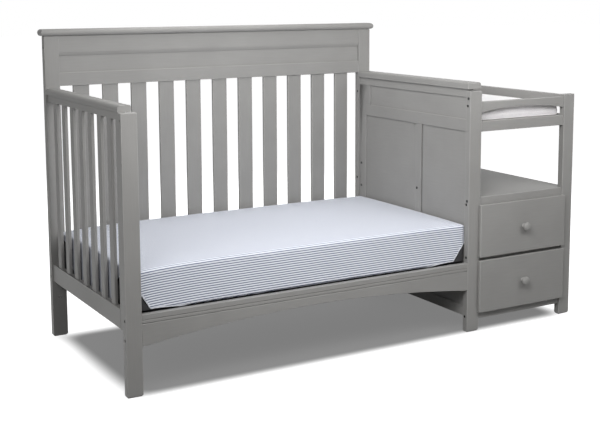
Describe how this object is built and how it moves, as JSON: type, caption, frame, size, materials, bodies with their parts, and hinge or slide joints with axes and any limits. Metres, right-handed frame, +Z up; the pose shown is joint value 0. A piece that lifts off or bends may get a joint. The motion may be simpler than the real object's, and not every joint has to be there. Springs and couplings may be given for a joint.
{
  "type": "crib with attached changer",
  "caption": "Convertible crib set up as a daybed, with a tall slatted headboard and an attached changing table: padded tray, open shelf bay and drawers.",
  "frame": {"origin": "on the floor, under the middle of the outer box", "axes": "+X along the crib from its left end to the changer, +Y from the front to the headboard, +Z up"},
  "size_m": [1.86, 0.818, 1.132],
  "materials": {
    "painted_wood": "satin",
    "drawer_wood": "matte",
    "support_steel": "satin",
    "hardware_steel": "satin",
    "cap_plastic": "matte",
    "sheet_fabric": "matte",
    "pad_fabric": "matte"
  },
  "bodies": {
    "carcass": {"headboard_post_left": "painted_wood", "headboard_post_right": "painted_wood", "headboard_cap": "painted_wood", "headboard_crest_rail": "painted_wood", "headboard_panel": "painted_wood", "headboard_slat_rail": "painted_wood", "headboard_slats": "painted_wood", "headboard_bottom_rail": "painted_wood", "left_front_leg": "painted_wood", "left_end_cap": "painted_wood", "left_end_top_rail": "painted_wood", "left_end_stile": "painted_wood", "left_end_slats": "painted_wood", "left_end_bottom_rail": "painted_wood", "partition_leg": "painted_wood", "partition_cap": "painted_wood", "partition_core": "painted_wood", "partition_frieze": "painted_wood", "partition_mid_rail": "painted_wood", "partition_low_rail": "painted_wood", "partition_stile": "painted_wood", "partition_mullion": "painted_wood", "partition_cleat": "painted_wood", "hole_caps": "cap_plastic", "front_rail": "painted_wood", "support_frame": "support_steel", "support_wires": "support_steel", "support_brackets": "support_steel", "support_bolts": "hardware_steel", "frame_bolts": "hardware_steel", "barrel_nuts": "hardware_steel", "changer_front_post": "painted_wood", "changer_rear_post": "painted_wood", "guard_rails": "painted_wood", "side_rails": "painted_wood", "tray_rails": "painted_wood", "tray_board": "painted_wood", "shelf_board": "painted_wood", "shelf_rails": "painted_wood", "divider_rail": "painted_wood", "toe_rails": "painted_wood", "cabinet_sides": "painted_wood", "cabinet_back": "painted_wood", "slide_channels": "hardware_steel"},
    "upper_drawer": {"upper_front": "painted_wood", "upper_box_ends": "drawer_wood", "upper_box_sides": "drawer_wood", "upper_bottom": "drawer_wood", "upper_knob": "painted_wood", "upper_knob_screw": "hardware_steel", "upper_slides": "hardware_steel"},
    "lower_drawer": {"lower_front": "painted_wood", "lower_box_ends": "drawer_wood", "lower_box_sides": "drawer_wood", "lower_bottom": "drawer_wood", "lower_knob": "painted_wood", "lower_knob_screw": "hardware_steel", "lower_slides": "hardware_steel"},
    "mattress": {"mattress": "sheet_fabric"},
    "changing_pad": {"changing_pad": "pad_fabric"}
  },
  "joints": [
    {"name": "upper_drawer_slide", "type": "slide", "parent": "carcass", "child": "upper_drawer", "axis": [0, -1, 0], "range_m": [0, 0.35]},
    {"name": "lower_drawer_slide", "type": "slide", "parent": "carcass", "child": "lower_drawer", "axis": [0, -1, 0], "range_m": [0, 0.35]},
    {"name": "mattress_lift", "type": "slide", "parent": "carcass", "child": "mattress", "axis": [0, 0, 1], "range_m": [0, 0.45]},
    {"name": "changing_pad_lift", "type": "slide", "parent": "carcass", "child": "changing_pad", "axis": [0, 0, 1], "range_m": [0, 0.2]}
  ]
}
